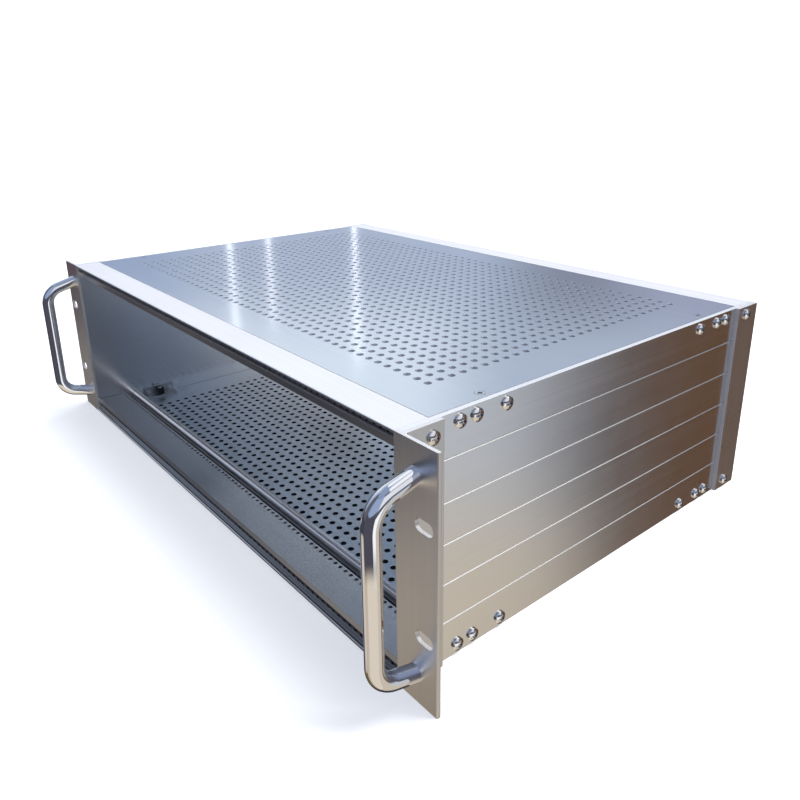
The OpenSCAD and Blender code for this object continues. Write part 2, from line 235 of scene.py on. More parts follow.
@dataclass(frozen=True)
class MetalFinish:
    """Bare or plated metal with drawn grain, handling marks, a painted highlight on its edges and painted
    shade in narrow recesses.

    Attributes:
        name: material slot of the record.
        colour: reflected tint.
        shade: tint in the low spots of the grain.
        rough: mean roughness.
        grain: direction of the grain.
        pitch: width of a grain line, in millimetres.
        length: length of a grain line, in millimetres.
        groove: bump strength of the grain.
        metal: metallic share; the rest is a pale oxide skin.
        matte_up: share of that skin on faces that look up, such as sawn edges and the lower sides of grooves.
        streak: change of roughness along the grain.
        marks: change of roughness by hands and polishing.
        edge: radius of the broken edges, in millimetres.
        glint: painted highlight along those edges, a brightening of the colour.
        recess_shade: painted shade, a darkening of narrow recesses where little light reaches.
        recess: width of a recess that gets the painted shade, in millimetres.
        BANDS: waves of the broad bands over those of the fine lines.
        CLOUDS: waves of the handling marks in a metre.
        SMEARS: waves of the polishing marks in a metre.
        SHARES: shares of lines, bands and handling marks in the tone.
        TONE: values of that tone that give the shade and the colour.
        EDGE: one minus the cosine at which an edge starts and is full.
        GLINT: factor and addition that turn the colour into the painted highlight of an edge.
        UP: upward part of the normal at which a face starts to look up and fully does.
        UP_ROUGH: roughness that such a face has more.
        HOLLOW: open share of the surroundings at which the painted recess shade is full and at which it is
            gone.
        DARK: share of the shade tint that the painted recess shade keeps.
        RIDGE: height of a grain line over its width.
    """

    BANDS: ClassVar[float] = 0.12
    CLOUDS: ClassVar[float] = 14.0
    SMEARS: ClassVar[float] = 55.0
    SHARES: ClassVar[Point] = (0.4, 0.3, 0.3)
    TONE: ClassVar[Span] = (0.3, 0.7)
    EDGE: ClassVar[Span] = (0.01, 0.16)
    GLINT: ClassVar[Span] = (1.12, 0.03)
    UP: ClassVar[Span] = (0.55, 0.95)
    UP_ROUGH: ClassVar[float] = 0.1
    HOLLOW: ClassVar[Span] = (0.35, 0.85)
    DARK: ClassVar[float] = 0.12
    RIDGE: ClassVar[float] = 0.5

    name: str
    colour: Colour
    shade: Colour
    rough: float
    grain: Grain
    pitch: float
    length: float
    groove: float
    metal: float = 1.0
    matte_up: float = 0.0
    streak: float = 0.03
    marks: float = 0.03
    edge: float = 0.3
    glint: float = 0.35
    recess_shade: float = 0.0
    recess: float = 1.5

    def make(self) -> bpy.types.Material:
        """Builds the material.

        Grain is noise that is stretched along one axis, marks are two softer noises, and the edge mask is one
        minus the cosine between the true normal and the normal of a rounded edge. The edge mask paints a
        highlight into the colour, and an occlusion mask paints shade into narrow recesses.

        Returns:
            The material, named after its slot.
        """
        material = bpy.data.materials.new(self.name)
        material.use_nodes = True
        g = Graph(material.node_tree)
        place = g.add("ShaderNodeTexCoord", {}, {}, "Object")
        scale = tuple(1.0 / (MM * (self.length if on else self.pitch)) for on in self.grain.value)
        lines = g.stretched(place, scale)
        bands = g.stretched(place, tuple(self.BANDS * s for s in scale))
        cloud = g.noise(place, self.CLOUDS, 3.0)
        smear = g.noise(place, self.SMEARS, 4.0, 0.6)
        rounded = g.add("ShaderNodeBevel", {"samples": 4}, {"Radius": self.edge * MM})
        true = g.add("ShaderNodeNewGeometry", {}, {}, "Normal")
        facing = g.add("ShaderNodeVectorMath", {"operation": "DOT_PRODUCT"}, {0: rounded, 1: true}, "Value")
        edge = (1.0 - facing).ramp(*self.EDGE)
        up = g.split(true)[2].ramp(*self.UP)
        of_lines, of_bands, of_cloud = self.SHARES
        tone = (of_lines * lines + of_bands * bands + of_cloud * cloud).ramp(*self.TONE)
        gain, lift = self.GLINT
        bright = tuple(min(1.0, gain * c + lift) for c in self.colour)
        # Painted highlight: the colour is brightened along the rounded edges
        colour = g.mix(self.glint * edge, g.mix(tone, self.shade, self.colour), bright)
        rough = (lines + bands - 1.0) * self.streak + (cloud + smear - 1.0) * self.marks + self.rough
        metal = self.metal
        if self.matte_up:
            metal = self.metal - self.matte_up * up
            rough = rough + self.UP_ROUGH * up
        colour, rough, metal = self._finish_and_shade(g, place, colour, rough, metal)
        # Painted shade: the colour darkens in narrow recesses, where the occlusion mask finds little open
        # space
        if self.recess_shade:
            reach = {"Distance": self.recess * MM}
            hollow = g.add("ShaderNodeAmbientOcclusion", {"samples": 6}, reach, "AO")
            dark = tuple(self.DARK * c for c in self.shade)
            colour = g.mix(hollow.ramp(*self.HOLLOW, self.recess_shade, 0.0), colour, dark)
        height = {
            "Strength": self.groove,
            "Distance": self.RIDGE * self.pitch * MM,
            "Height": lines,
            "Normal": rounded,
        }
        surface = {
            "Base Color": colour,
            "Metallic": metal,
            "Roughness": rough,
            "Normal": g.add("ShaderNodeBump", {}, height),
        }
        shader = g.add("ShaderNodeBsdfPrincipled", {}, surface)
        g.add("ShaderNodeOutputMaterial", {}, {"Surface": shader})
        return material

    def _finish_and_shade(
        self, g: Graph, place: Sock, colour: Sock, rough: Sock, metal: Number
    ) -> tuple[Sock, Sock, Number]:
        """Changes the surface by place; plain metal is the same all over.

        Args:
            g: node tree, not used here.
            place: object coordinates, not used here.
            colour: colour so far.
            rough: roughness so far.
            metal: metallic share so far.

        Returns:
            Colour, roughness and metallic share.
        """
        return colour, rough, metal


@dataclass(frozen=True)
class PunchedSheet(MetalFinish):
    """Sheet that is polished outside, with matte walls in its punched holes, painted shade on those of the
    lower sheet, and a duller inner face.

    Attributes:
        faces: heights of the two outer faces, in metres.
        thick: thickness of the sheet, in millimetres.
        wall: tint of the punched walls of the upper sheet.
        wall_matte: share of matte skin on those walls.
        wall_low_shade: tint of the punched walls of the lower sheet, near black as painted shade.
        inside: tint of the inner face.
        ROLLED: depth over the thickness at which the wall of a hole starts and is full.
        INNER: depth over the thickness at which the inner face starts and is full.
        HALVES: height over the case's at which the lower sheet ends and the upper one starts.
        WALL_ROUGH: roughness that walls and the inner face have more.
    """

    ROLLED: ClassVar[Span] = (0.06, 0.2)
    INNER: ClassVar[Span] = (0.92, 0.99)
    HALVES: ClassVar[Span] = (0.4, 0.6)
    WALL_ROUGH: ClassVar[float] = 0.15

    faces: Span = (0.0, 0.1325)
    thick: float = 1.5
    wall: Colour = (0.80, 0.84, 0.90)
    wall_matte: float = 0.7
    wall_low_shade: Colour = (0.04, 0.045, 0.05)
    inside: Colour = (0.72, 0.79, 0.87)

    def _finish_and_shade(
        self, g: Graph, place: Sock, colour: Sock, rough: Sock, metal: Number
    ) -> tuple[Sock, Sock, Number]:
        """Changes what lies below the outer face.

        Depth is half the height of the case less the distance from its middle.

        Args:
            g: node tree.
            place: object coordinates.
            colour: colour of the outer face.
            rough: roughness of the outer face.
            metal: metallic share of the outer face.

        Returns:
            Colour, roughness and metallic share.
        """
        low, high = self.faces
        z = g.split(place)[2]
        depth = (high - low) / 2 - abs(z - (low + high) / 2)
        below = depth.ramp(*(share * self.thick * MM for share in self.ROLLED))
        inner = depth.ramp(*(share * self.thick * MM for share in self.INNER))
        upper = z.ramp(*(share * high for share in self.HALVES))
        # Painted shade: the walls of the holes in the lower sheet get a near black tint
        wall = g.mix(upper, self.wall_low_shade, self.wall)
        colour = g.mix(inner, g.mix(below, colour, wall), self.inside)
        return colour, rough + self.WALL_ROUGH * below, metal - self.wall_matte * (below - inner)


@dataclass(frozen=True)
class SawnAngle(MetalFinish):
    """Angle bar with matte ends where it was sawn.

    Attributes:
        cuts: places of the sawn ends along Y, in metres.
        cut_matte: share of matte skin on them.
        rear_polish: roughness that the rear angles have less than the front flanges.
        NEAR: distance from a cut that still counts as its face, in millimetres.
        SOFT: half width of the change there, in millimetres.
        CUT_ROUGH: roughness that a sawn face has more.
    """

    NEAR: ClassVar[float] = 0.05
    SOFT: ClassVar[float] = 0.02
    CUT_ROUGH: ClassVar[float] = 0.15

    cuts: tuple[float, ...] = ()
    cut_matte: float = 0.75
    rear_polish: float = 0.09

    def _finish_and_shade(
        self, g: Graph, place: Sock, colour: Sock, rough: Sock, metal: Number
    ) -> tuple[Sock, Sock, Number]:
        """Smooths the rear half and lays the matte skin on what lies next to a cut.

        Args:
            g: node tree.
            place: object coordinates.
            colour: colour so far.
            rough: roughness so far.
            metal: metallic share so far.

        Returns:
            Colour, roughness and metallic share.
        """
        y = g.split(place)[1]
        rough = rough - self.rear_polish * y.ramp(0.0, MM)
        near = self.NEAR * MM
        for cut in self.cuts:
            end = y.window((cut - near, cut + near), self.SOFT * MM)
            metal = metal - self.cut_matte * end
            rough = rough + self.CUT_ROUGH * end
        return colour, rough, metal


@dataclass(frozen=True)
class RailFinish(MetalFinish):
    """Extruded rail, matte on top of the case and still bright on the ledges inside it, with painted shade on
    the faces that look to the front.

    Attributes:
        level: height of the middle of the case, in metres.
        polish: roughness that a ledge has less than the rest.
        panel: painted shade, a darker tint on the faces that look to the front.
        LEDGE: upward part of the normal at which a face starts to be a ledge and fully is.
        FRONT: part of the normal along Y at which a face fully looks to the front and no longer does.
    """

    LEDGE: ClassVar[Span] = (0.55, 0.68)
    FRONT: ClassVar[Span] = (-0.95, -0.8)

    level: float = 0.066
    polish: float = 0.26
    panel: Colour = (0.46, 0.47, 0.48)

    def _finish_and_shade(
        self, g: Graph, place: Sock, colour: Sock, rough: Sock, metal: Number
    ) -> tuple[Sock, Sock, Number]:
        """Takes the matte skin off the ledges in the lower half and paints shade on the faces that look to
        the front.

        Args:
            g: node tree.
            place: object coordinates.
            colour: colour so far.
            rough: roughness so far.
            metal: metallic share so far.

        Returns:
            Colour, roughness and metallic share.
        """
        normal = g.split(g.add("ShaderNodeNewGeometry", {}, {}, "Normal"))
        z = g.split(place)[2]
        ledge = normal[2].ramp(*self.LEDGE) * z.ramp(self.level, self.level + MM, 1.0, 0.0)
        # Painted shade: faces that look to the front get a darker tint
        colour = g.mix(normal[1].ramp(*self.FRONT, 1.0, 0.0), colour, self.panel)
        return colour, rough - self.polish * ledge, (1.0 - metal) * ledge + metal


SIDE_ALUMINIUM = MetalFinish(
    name="side_aluminium",
    colour=(0.91, 0.91, 0.92),
    shade=(0.84, 0.84, 0.85),
    rough=0.19,
    grain=Grain.ALONG_Y,
    pitch=0.5,
    length=120.0,
    groove=0.03,
    matte_up=0.75,
)
FLANGE_ALUMINIUM = SawnAngle(
    name="flange_aluminium",
    colour=(0.88, 0.87, 0.86),
    shade=(0.79, 0.78, 0.77),
    rough=0.37,
    grain=Grain.ALONG_Z,
    pitch=0.35,
    length=40.0,
    groove=0.03,
    matte_up=0.7,
    cuts=(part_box("right_front_flange")[1][1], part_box("right_rear_angle")[0][1]),
)
RAIL_ALUMINIUM = RailFinish(
    name="rail_aluminium",
    colour=(0.92, 0.91, 0.92),
    shade=(0.84, 0.84, 0.86),
    rough=0.34,
    grain=Grain.ALONG_X,
    pitch=0.5,
    length=140.0,
    groove=0.03,
    matte_up=0.8,
    recess_shade=0.6,
    recess=3.0,
)
COVER_ALUMINIUM = PunchedSheet(
    name="cover_aluminium",
    colour=(0.90, 0.92, 0.95),
    shade=(0.84, 0.86, 0.90),
    rough=0.13,
    grain=Grain.ALONG_X,
    pitch=0.4,
    length=60.0,
    groove=0.02,
    streak=0.02,
    marks=0.02,
    edge=0.1,
    faces=(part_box("bottom_cover")[0][2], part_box("top_cover")[1][2]),
)
BRACKET_ALUMINIUM = MetalFinish(
    name="bracket_aluminium",
    colour=(0.62, 0.64, 0.67),
    shade=(0.50, 0.52, 0.55),
    rough=0.36,
    grain=Grain.ALONG_Y,
    pitch=0.4,
    length=25.0,
    groove=0.05,
)
STRIP_STEEL = MetalFinish(
    name="strip_steel",
    colour=(0.40, 0.41, 0.43),
    shade=(0.26, 0.27, 0.29),
    rough=0.36,
    grain=Grain.ALONG_X,
    pitch=0.3,
    length=30.0,
    groove=0.06,
    recess_shade=0.8,
)
SCREW_STEEL = MetalFinish(
    name="screw_steel",
    colour=(0.95, 0.94, 0.93),
    shade=(0.84, 0.83, 0.82),
    rough=0.13,
    grain=Grain.ALONG_Z,
    pitch=0.25,
    length=1.5,
    groove=0.02,
    edge=0.12,
    recess_shade=0.9,
    recess=0.8,
)
HANDLE_CHROME = MetalFinish(
    name="handle_chrome",
    colour=(0.93, 0.93, 0.95),
    shade=(0.91, 0.91, 0.93),
    rough=0.03,
    grain=Grain.ALONG_Z,
    pitch=0.6,
    length=12.0,
    groove=0.002,
    streak=0.006,
    marks=0.012,
    glint=0.0,
)
NUT_BLACK = MetalFinish(
    name="nut_black",
    colour=(0.030, 0.029, 0.028),
    shade=(0.012, 0.012, 0.012),
    rough=0.42,
    grain=Grain.ALONG_Z,
    pitch=0.3,
    length=2.0,
    groove=0.08,
    metal=0.4,
    glint=0.5,
)


# Mesh helpers


def put_mesh(
    name: str, points: np.ndarray, tris: np.ndarray, quads: np.ndarray, crease: float = 32.0
) -> bpy.types.Object:
    """Makes an object at the origin from whole arrays.

    Args:
        name: name of the piece.
        points: rows of x, y, z in metres.
        tris: rows of three indices.
        quads: rows of four indices.
        crease: angle in degrees past which an edge stays sharp.

    Returns:
        The object, linked to the scene and smooth between creases.
    """
    mesh = bpy.data.meshes.new(name)
    mesh.vertices.add(len(points))
    mesh.vertices.foreach_set("co", points.astype(np.float32).ravel())
    corners = np.concatenate([tris.ravel(), quads.ravel()]).astype(np.int32)
    starts = np.concatenate([3 * np.arange(len(tris)), tris.size + 4 * np.arange(len(quads))])
    mesh.loops.add(len(corners))
    mesh.loops.foreach_set("vertex_index", corners)
    mesh.polygons.add(len(starts))
    mesh.polygons.foreach_set("loop_start", starts.astype(np.int32))
    mesh.polygons.foreach_set("use_smooth", np.ones(len(starts), bool))
    mesh.update(calc_edges=True)
    mesh.validate()
    mesh.set_sharp_from_angle(angle=math.radians(crease))
    piece = bpy.data.objects.new(name, mesh)
    bpy.context.scene.collection.objects.link(piece)
    return piece


def zip_loops(outer: np.ndarray, inner: np.ndarray) -> np.ndarray:
    """Triangles between two loops of points round one centre.

    Going round by angle, each step moves on along the loop whose next point is nearer, and so adds one
    triangle. Sorting the halfway angles of both loops gives all the steps at once.

    Args:
        outer: angles of the outer loop, rising, the first one nearest to angle zero.
        inner: angles of the inner loop, rising from zero.

    Returns:
        Rows of three indices, counter-clockwise: the outer points first, then the inner ones.
    """
    turn = 2 * np.pi
    a, b = len(outer), len(inner)
    half_out = (outer + np.append(outer[1:], outer[0] + turn)) / 2
    half_in = (inner + np.append(inner[1:], inner[0] + turn)) / 2
    order = np.argsort(np.concatenate([half_out, half_in]), kind="stable")
    from_out = order < a
    i = np.cumsum(from_out) - from_out
    j = np.cumsum(~from_out) - ~from_out
    on_out = np.stack([i % a, (i + 1) % a, a + j % b], 1)
    on_in = np.stack([i % a, a + (j + 1) % b, a + j % b], 1)
    return np.where(from_out[:, None], on_out, on_in)


# Sub-assemblies


@dataclass
class SubAssembly:
    """CAD nodes that share one finish.

    Attributes:
        title: name for the log.
        finish: their finish.
        nodes: names of the nodes.
    """

    title: str
    finish: MetalFinish
    nodes: Sequence[str]

    def build(self) -> list[bpy.types.Object]:
        """Returns the objects to dress, here the CAD nodes themselves."""
        return [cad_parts[name] for name in self.nodes]

    def dress(self, material: bpy.types.Material, pieces: Iterable[bpy.types.Object]) -> None:
        """Gives every piece the material as its only one.

        Args:
            material: the finish.
            pieces: nodes or new pieces.
        """
        for piece in pieces:
            piece.data.materials.clear()
            piece.data.materials.append(material)
            LOG.info("%s: %s in %s", self.title, piece.name, self.finish.name)

    def stand_for(self, piece: bpy.types.Object, node: str) -> bpy.types.Object:
        """Lets a new piece ride on the case and stand for a CAD node.

        Args:
            piece: the new piece.
            node: the node that it hides.

        Returns:
            The piece.
        """
        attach(piece, BODY)
        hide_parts(node)
        return piece


@dataclass
class SheetGrid:
    """Points and faces of one perforated sheet while it is put together.

    Attributes:
        flat: blocks of x, y.
        deep: depth below the outer face for the points of each block.
        walls: blocks of four indices.
        caps: pattern of triangles, rims and rings of each kind of hole.
        total: number of points so far.
    """

    flat: list[np.ndarray]
    deep: list[np.ndarray]
    walls: list[np.ndarray] = field(default_factory=list)
    caps: list[tuple[np.ndarray, np.ndarray, np.ndarray]] = field(default_factory=list)
    total: int = 0

    def add_rings(
        self,
        centres: np.ndarray,
        radii: Sequence[float],
        depths: Sequence[float],
        rims: np.ndarray,
        sides: int,
    ) -> None:
        """Adds holes that share one shape.

        A ring is the centre plus a radius times (cos, sin). Rings of one hole are joined by squares, and the
        first and the last ring are joined to the rim of the hole's cell by triangles.

        Args:
            centres: rows of x, y.
            radii: radius of each ring from the outer face to the inner one.
            depths: depth of each ring.
            rims: indices of the rim of each cell, counter-clockwise, nearest to angle zero first.
            sides: corners of a ring.
        """
        angle = np.arange(sides) * 2 * np.pi / sides
        circle = np.stack([np.cos(angle), np.sin(angle)], 1)
        rings = centres[:, None, None] + np.array(radii)[None, :, None, None] * circle[None, None]
        ids = self.total + np.arange(rings[..., 0].size).reshape(len(centres), len(radii), sides)
        offset = self.flat[0][rims[0]] - centres[0]
        turn = np.arctan2(offset[:, 1], offset[:, 0])
        turn[1:] = np.mod(turn[1:], 2 * np.pi)
        a, b = ids[:, :-1], ids[:, 1:]
        self.flat.append(rings.reshape(-1, 2))
        self.deep.append(np.tile(np.repeat(np.array(depths), sides), len(centres)))
        self.walls.append(np.stack([a, b, np.roll(b, -1, 2), np.roll(a, -1, 2)], -1).reshape(-1, 4))
        self.caps.append((zip_loops(turn, angle), rims, ids))
        self.total += ids.size


@dataclass
class VentedCovers(SubAssembly):
    """Two sheet covers with a square field of punched holes and four countersunk screw holes each.

    Attributes:
        pitch: distance between holes, in millimetres.
        count: holes along X and along Y.
        hole: diameter of a hole.
        roll: width and depth of the rolled edge that the punch leaves on the outer side.
        sides: corners of a hole.
        screw: places of a screw hole from the middle of the cover, along X and along Y.
        sink: diameter of the countersink at the face.
        bore: diameter of the screw hole.
        sink_deep: depth of the countersink.
        pad: half width of the plain patch round a screw hole.
    """

    pitch: float = 7.94
    count: tuple[int, int] = (47, 28)
    hole: float = 4.0
    roll: float = 0.12
    sides: int = 16
    screw: Span = (208.16, 97.0)
    sink: float = 5.8
    bore: float = 3.4
    sink_deep: float = 1.2
    pad: float = 4.6

    def build(self) -> list[bpy.types.Object]:
        """Makes one piece for each cover node and lets it stand for that node."""
        pairs = zip(self.nodes, (Side.TOP, Side.BOTTOM))
        return [self.stand_for(self._cover(f"{name}_sheet", name, side), name) for name, side in pairs]

    def _cover(self, title: str, node: str, side: Side) -> bpy.types.Object:
        """Builds one cover.

        The sheet is a grid of lines along X and Y. A cell of the field is a square round a hole, a patch
        round a screw hole is a row of cells, and every other cell is one square. The inner face repeats the
        grid at the depth of the sheet, and a band of squares closes the edge.

        Args:
            title: name of the piece.
            node: CAD node that gives the outline.
            side: face of the case.

        Returns:
            The piece.
        """
        low, high = (np.array(v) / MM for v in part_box(node))
        middle, thick = (low + high) / 2, high[2] - low[2]
        half = (high - low)[:2] / 2
        fx, fy = ((np.arange(n + 1) - n / 2) * self.pitch for n in self.count)
        side_lines = np.array([self.screw[0] - self.pad, self.screw[0] + self.pad, half[0]])
        xs = np.concatenate([-side_lines[::-1], fx, side_lines])
        ys = np.concatenate([[-half[1]], fy, [half[1]]])
        grid = np.stack(np.meshgrid(xs, ys, indexing="ij"), -1).reshape(-1, 2)
        index = np.arange(len(grid)).reshape(len(xs), len(ys))
        plain = np.ones((len(xs) - 1, len(ys) - 1), bool)
        sheet = SheetGrid([grid], [np.zeros(len(grid))], total=len(grid))
        self._punch(sheet, index, plain, len(side_lines), thick)
        self._drill(sheet, index, plain, ys, thick)
        inner = sheet.total
        i, j = np.nonzero(plain)
        outside = np.stack([index[i, j], index[i + 1, j], index[i + 1, j + 1], index[i, j + 1]], 1)
        edge = np.concatenate([index[:-1, 0], index[-1, :-1], index[:0:-1, -1], index[0, :0:-1]])
        ahead = np.roll(edge, -1)
        band = np.stack([edge, edge + inner, ahead + inner, ahead], 1)
        quads = np.concatenate([outside, outside[:, ::-1] + inner, band] + sheet.walls)
        tris = []
        for pattern, rims, ids in sheet.caps:
            upper = np.concatenate([rims, ids[:, 0]], 1)[:, pattern]
            lower = np.concatenate([rims + inner, ids[:, -1]], 1)[:, pattern]
            tris += [upper.reshape(-1, 3), lower[..., ::-1].reshape(-1, 3)]
        tris = np.concatenate(tris)
        xy = np.concatenate(sheet.flat + [grid]) + middle[:2]
        deep = np.concatenate(sheet.deep + [np.full(len(grid), thick)])
        face = high[2] if side is Side.TOP else low[2]
        points = np.column_stack([xy, face - side.value * deep]) * MM
        if side is Side.BOTTOM:
            tris, quads = tris[:, ::-1], quads[:, ::-1]
        return put_mesh(title, points, tris, quads)

    def _punch(
        self, sheet: SheetGrid, index: np.ndarray, plain: np.ndarray, first: int, thick: float
    ) -> None:
        """Punches the field of holes.

        Args:
            sheet: the sheet so far.
            index: indices of the grid's points.
            plain: cells that stay plain, changed here.
            first: number of grid lines before the field along X.
            thick: thickness of the sheet.
        """
        nx, ny = self.count
        i, j = (v.ravel() for v in np.meshgrid(np.arange(nx) + first, np.arange(ny) + 1, indexing="ij"))
        plain[i, j] = False
        rims = np.stack([index[i + 1, j + 1], index[i, j + 1], index[i, j], index[i + 1, j]], 1)
        centres = (sheet.flat[0][rims[:, 0]] + sheet.flat[0][rims[:, 2]]) / 2
        r = self.hole / 2
        sheet.add_rings(centres, (r + self.roll, r, r), (0.0, self.roll, thick), rims, self.sides)

    def _drill(
        self, sheet: SheetGrid, index: np.ndarray, plain: np.ndarray, ys: np.ndarray, thick: float
    ) -> None:
        """Drills the four countersunk screw holes.

        Args:
            sheet: the sheet so far.
            index: indices of the grid's points.
            plain: cells that stay plain, changed here.
            ys: grid lines along Y.
            thick: thickness of the sheet.
        """
        left_cell, right_cell = 1, len(index) - 3
        for mx, cell in ((-1, left_cell), (1, right_cell)):
            for my in (-1, 1):
                centre = np.array([mx * self.screw[0], my * self.screw[1]])
                first = int(np.searchsorted(ys, centre[1] - self.sink / 2)) - 1
                last = int(np.searchsorted(ys, centre[1] + self.sink / 2))
                plain[cell, first:last] = False
                near, far = index[cell : cell + 2, first : last + 1]
                rim = np.concatenate([far, near[::-1]])
                offset = sheet.flat[0][rim] - centre
                start = int(np.argmin(np.abs(np.arctan2(offset[:, 1], offset[:, 0]))))
                radii = (self.sink / 2, self.bore / 2, self.bore / 2)
                depths = (0.0, self.sink_deep, thick)
                sheet.add_rings(centre[None], radii, depths, np.roll(rim, -start)[None], self.sides)


@dataclass
class BarHandles(SubAssembly):
    """Two handles, each a round bar bent twice, with legs that lean towards the middle of the grip.

    Attributes:
        bend: radius of the bends at the middle of the bar, in millimetres.
        lean: degrees that a leg leans from the flange's normal.
        around: points round the bar.
        steps: rings in a bend.
        straight: rings along the grip.
        legs: rings along a leg.
    """

    bend: float = 14.0
    lean: float = 15.0
    around: int = 56
    steps: int = 28
    straight: int = 40
    legs: int = 7

    def build(self) -> list[bpy.types.Object]:
        """Makes one bar for each handle node and lets it stand for that node."""
        return [self.stand_for(self._bar(f"{name}_bar", name), name) for name in self.nodes]

    def _bar(self, title: str, node: str) -> bpy.types.Object:
        """Carries a circle along the bent path.

        The path lies in a plane of Y and Z: a leg, a bend, the grip, a bend and a leg. Each ring has an
        angle in that plane, the direction from the inside of the bend to its outside. A point of the surface
        is the path's point plus the radius times (cos of the turn along that direction plus sin of the turn
        along X). The first and the last ring lie in the flange's plane, where the round leg is cut to an
        ellipse.

        Args:
            title: name of the piece.
            node: CAD node that gives the size and the place.

        Returns:
            The piece.
        """
        low, high = (np.array(v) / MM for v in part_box(node))
        middle = (low + high) / 2
        radius = (high[0] - low[0]) / 2
        lean = math.radians(self.lean)
        grip_y, root_y = low[1] + radius, high[1]
        cut = radius / math.cos(lean)
        foot = (high[2] - low[2]) / 2 - cut
        corner = foot - (root_y - grip_y) * math.tan(lean)
        bend_y = grip_y + self.bend
        bend_z = corner - self.bend * math.tan((math.pi / 2 - lean) / 2)
        arc = np.linspace(math.pi / 2 + lean, math.pi, self.steps)
        arc_y = bend_y + self.bend * np.cos(arc)
        arc_z = bend_z + self.bend * np.sin(arc)
        leg_y = np.linspace(root_y, arc_y[0], self.legs + 1)[:-1]
        leg_z = np.linspace(foot, arc_z[0], self.legs + 1)[:-1]
        grip = np.linspace(bend_z, -bend_z, self.straight + 2)[1:-1]
        y = np.concatenate([leg_y, arc_y, np.full(self.straight, grip_y), arc_y[::-1], leg_y[::-1]])
        z = np.concatenate([leg_z, arc_z, grip, -arc_z[::-1], -leg_z[::-1]])
        half = np.concatenate([np.full(self.legs, arc[0]), arc])
        out = np.concatenate([half, np.full(self.straight, math.pi), 2 * math.pi - half[::-1]])
        turn = np.arange(self.around) * 2 * np.pi / self.around
        centre = np.stack([np.full_like(y, middle[0]), y, z + middle[2]], 1)
        outward = np.stack([np.zeros_like(out), np.cos(out), np.sin(out)], 1)
        sideways = np.sin(turn)[:, None] * np.array([1.0, 0.0, 0.0])
        rings = centre[:, None] + radius * (np.cos(turn)[None, :, None] * outward[:, None] + sideways)
        upward = np.cos(turn)[:, None] * np.array([0.0, 0.0, cut])
        rings[0] = centre[0] + radius * sideways + upward
        rings[-1] = centre[-1] + radius * sideways - upward
        ids = np.arange(rings[..., 0].size).reshape(len(y), self.around)
        a, b = ids[:-1], ids[1:]
        quads = np.stack([a, np.roll(a, -1, 1), np.roll(b, -1, 1), b], -1).reshape(-1, 4)
        first = np.stack([np.full(self.around, ids.size), np.roll(ids[0], -1), ids[0]], 1)
        last = np.stack([np.full(self.around, ids.size + 1), ids[-1], np.roll(ids[-1], -1)], 1)
        points = np.concatenate([rings.reshape(-1, 3), centre[[0, -1]]]) * MM
        return put_mesh(title, points, np.concatenate([first, last]), quads)


# Studio


@dataclass(frozen=True)
class SoftBox:
    """A rectangular studio light.

    Attributes:
        name: name of the light.
        place: middle of the panel.
        aim: point that it faces.
        size: width and height.
        power: watts.
        mirrored: whether metal shows the panel itself, and not just its light on matte faces.
    """

    name: str
    place: Point
    aim: Point
    size: Span
    power: float
    mirrored: bool = True

    def build(self) -> None:
        """Adds the light to the scene."""
        data = bpy.data.lights.new(self.name, "AREA")
        data.shape = "RECTANGLE"
        data.size, data.size_y = self.size
        data.energy = self.power
        lamp = bpy.data.objects.new(self.name, data)
        lamp.location = self.place
        toward = Vector(self.aim) - Vector(self.place)
        lamp.rotation_euler = toward.to_track_quat("-Z", "Y").to_euler()
        lamp.visible_glossy = self.mirrored
        bpy.context.scene.collection.objects.link(lamp)


STRIP_REACH = 2.3


def strip_box(name: str, azimuth: float, rise: Span, width: float, power: float) -> SoftBox:
    """An upright strip light behind the case, STRIP_REACH metres from its middle.

    Args:
        name: name of the light.
        azimuth: degrees from +Y towards +X, seen from the middle of the case.
        rise: elevation of its foot and of its head, in degrees.
        width: width of the strip.
        power: watts.

    Returns:
        The light.
    """
    a = math.radians(azimuth)
    foot, head = (STRIP_REACH * math.tan(math.radians(e)) for e in rise)
    height = (foot + head) / 2
    place = (STRIP_REACH * math.sin(a), STRIP_REACH * math.cos(a), height)
    return SoftBox(name, place, (0.0, 0.0, height), (width, head - foot), power)


@dataclass(frozen=True)
class Card:
    """A soft-edged patch of the room that the metal mirrors.

    Attributes:
        name: what the patch stands for.
        colour: its light.
        bearing: degrees from +Y towards +X, from and to.
        rise: elevation in degrees, from and to.
        soft: half width of its edges in degrees, along both.
    """

    name: str
    colour: Colour
    bearing: Span
    rise: Span
    soft: Span

    def paint(self, g: Graph, under: Sock, bearing: Sock, rise: Sock) -> Sock:
        """Lays the patch over a colour.

        Args:
            g: node tree.
            under: colour so far.
            bearing: bearing of the view in degrees.
            rise: its elevation in degrees.

        Returns:
            The new colour.
        """
        mask = bearing.window(self.bearing, self.soft[0]) * rise.window(self.rise, self.soft[1])
        return g.mix(mask, under, self.colour)


